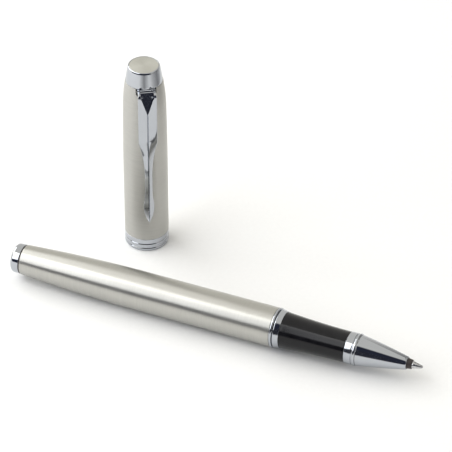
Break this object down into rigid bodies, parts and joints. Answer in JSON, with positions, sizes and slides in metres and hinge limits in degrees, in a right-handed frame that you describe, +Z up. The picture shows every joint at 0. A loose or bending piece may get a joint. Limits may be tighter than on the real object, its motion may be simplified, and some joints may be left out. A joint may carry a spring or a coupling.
{
  "type": "capped rollerball pen",
  "caption": "Uncapped metal rollerball pen lying beside its upright cap; section unscrews from the barrel, refill slides out, clip flexes and cap lifts.",
  "frame": {"origin": "middle of the base of the pen and cap together, on the table they rest on", "axes": "+X along the pen towards its tip, +Z up along the standing cap, +Y from the pen towards the cap"},
  "size_m": [0.1215, 0.041, 0.0594],
  "materials": {
    "brushed_barrel": "fine brushing round the barrel",
    "brushed_cap": "fine brushing",
    "chrome_trim": "mirror polished",
    "clip_chrome": "mirror polished",
    "satin_disc": "satin",
    "black_lacquer": "glossy lacquer",
    "dark_plastic": "satin moulded",
    "tip_steel": "turned",
    "ball_metal": "polished",
    "brass_fitting": "turned",
    "seal_rubber": "soft",
    "spring_wire": "drawn wire",
    "white_plastic": "moulded",
    "liner_plastic": "moulded",
    "refill_body": "drawn tube",
    "refill_plug": "moulded",
    "ink_core": "wet fibre",
    "feed_fibre": "bundled fibre"
  },
  "bodies": {
    "barrel": {"barrel_tube": "brushed_barrel", "barrel_end_cap": "chrome_trim", "barrel_thread_bush": "brass_fitting", "barrel_rib": "chrome_trim"},
    "spring": {"refill_spring": "spring_wire"},
    "cup": {"spring_cup": "white_plastic"},
    "section": {"section_core": "brass_fitting", "section_seal": "seal_rubber", "section_band": "chrome_trim", "grip_sleeve": "black_lacquer", "front_ring": "chrome_trim", "nozzle_cone": "chrome_trim"},
    "refill": {"refill_stopper": "refill_plug", "refill_tube": "refill_body", "ink_store": "ink_core", "ink_feed": "feed_fibre", "refill_nose": "dark_plastic", "tip_cone": "tip_steel"},
    "ball": {"writing_ball": "ball_metal"},
    "cap": {"cap_tube": "brushed_cap", "cap_finial": "chrome_trim", "finial_disc": "satin_disc", "clip_ring": "chrome_trim", "finial_bush": "white_plastic", "finial_nut": "brass_fitting", "inner_cap": "liner_plastic", "clutch_insert": "liner_plastic", "cap_trim_ring": "chrome_trim"},
    "clip": {"clip_arm": "clip_chrome"}
  },
  "joints": [
    {"name": "section_advance", "type": "slide", "parent": "barrel", "child": "spring", "axis": [1, 0, 0], "range_m": [0, 0.005]},
    {"name": "section_turn", "type": "hinge", "parent": "spring", "child": "cup", "pos_m": [0, -0.01493, 0.00562], "axis": [1, 0, 0], "range_deg": [0, 1800]},
    {"name": "section_draw", "type": "slide", "parent": "cup", "child": "section", "axis": [1, 0, 0], "range_m": [0, 0.12]},
    {"name": "refill_draw", "type": "slide", "parent": "section", "child": "refill", "axis": [1, 0, 0], "range_m": [-0.06, 0]},
    {"name": "ball_roll", "type": "hinge", "parent": "refill", "child": "ball", "pos_m": [0.0604, -0.01493, 0.00562], "axis": [0, 1, 0], "continuous": true},
    {"name": "cap_slide", "type": "slide", "parent": "barrel", "child": "cap", "axis": [0, 0, 1], "range_m": [0, 0.0423]},
    {"name": "clip_flex", "type": "hinge", "parent": "cap", "child": "clip", "pos_m": [-0.0311, 0.00974, 0.054], "axis": [-0.8545, -0.5195, 0], "range_deg": [0, 4], "stiffness_Nm_per_rad": 1.2}
  ],
  "couplings": [
    {"joint": "section_advance", "follows": "section_turn", "m_per_rad": 0.00015915},
    {"joint": "refill_draw", "follows": "section_draw", "ratio": -0.5}
  ]
}
